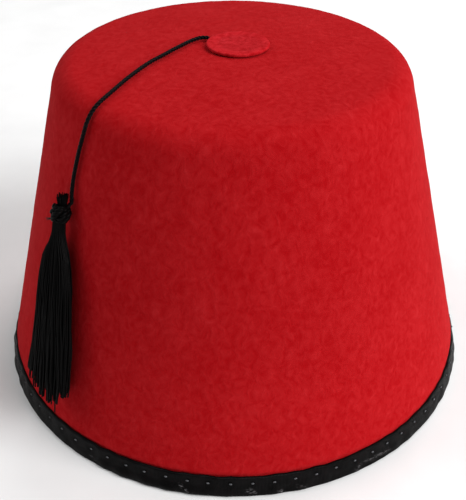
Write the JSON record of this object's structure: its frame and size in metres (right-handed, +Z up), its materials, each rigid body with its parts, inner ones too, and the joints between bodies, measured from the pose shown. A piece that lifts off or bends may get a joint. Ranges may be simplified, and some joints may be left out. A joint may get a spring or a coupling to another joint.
{
  "type": "fez",
  "caption": "Hollow felt fez that stands on its tape-bound rim, with a felt disc on the crown and a cord that carries a knotted tassel down the wall.",
  "frame": {"origin": "middle of the rim, on the surface that the hat stands on", "axes": "+Z up along the hat's axis, -Y to the front, the tassel hangs on the -X side of the front"},
  "size_m": [0.1928, 0.1928, 0.1299],
  "materials": {
    "felt": "matt red pressed felt with a fine nap",
    "disc_felt": "matt red felt, a little paler than the body",
    "tape": "black bias tape with a slight sheen",
    "thread": "black twisted thread with a soft gloss"
  },
  "bodies": {
    "root": {"felt_body": "felt", "rim_binding": "tape", "crown_disc": "disc_felt", "tassel_cord": "thread", "tassel_knot": "thread", "tassel_skirt": "thread"}
  },
  "joints": []
}
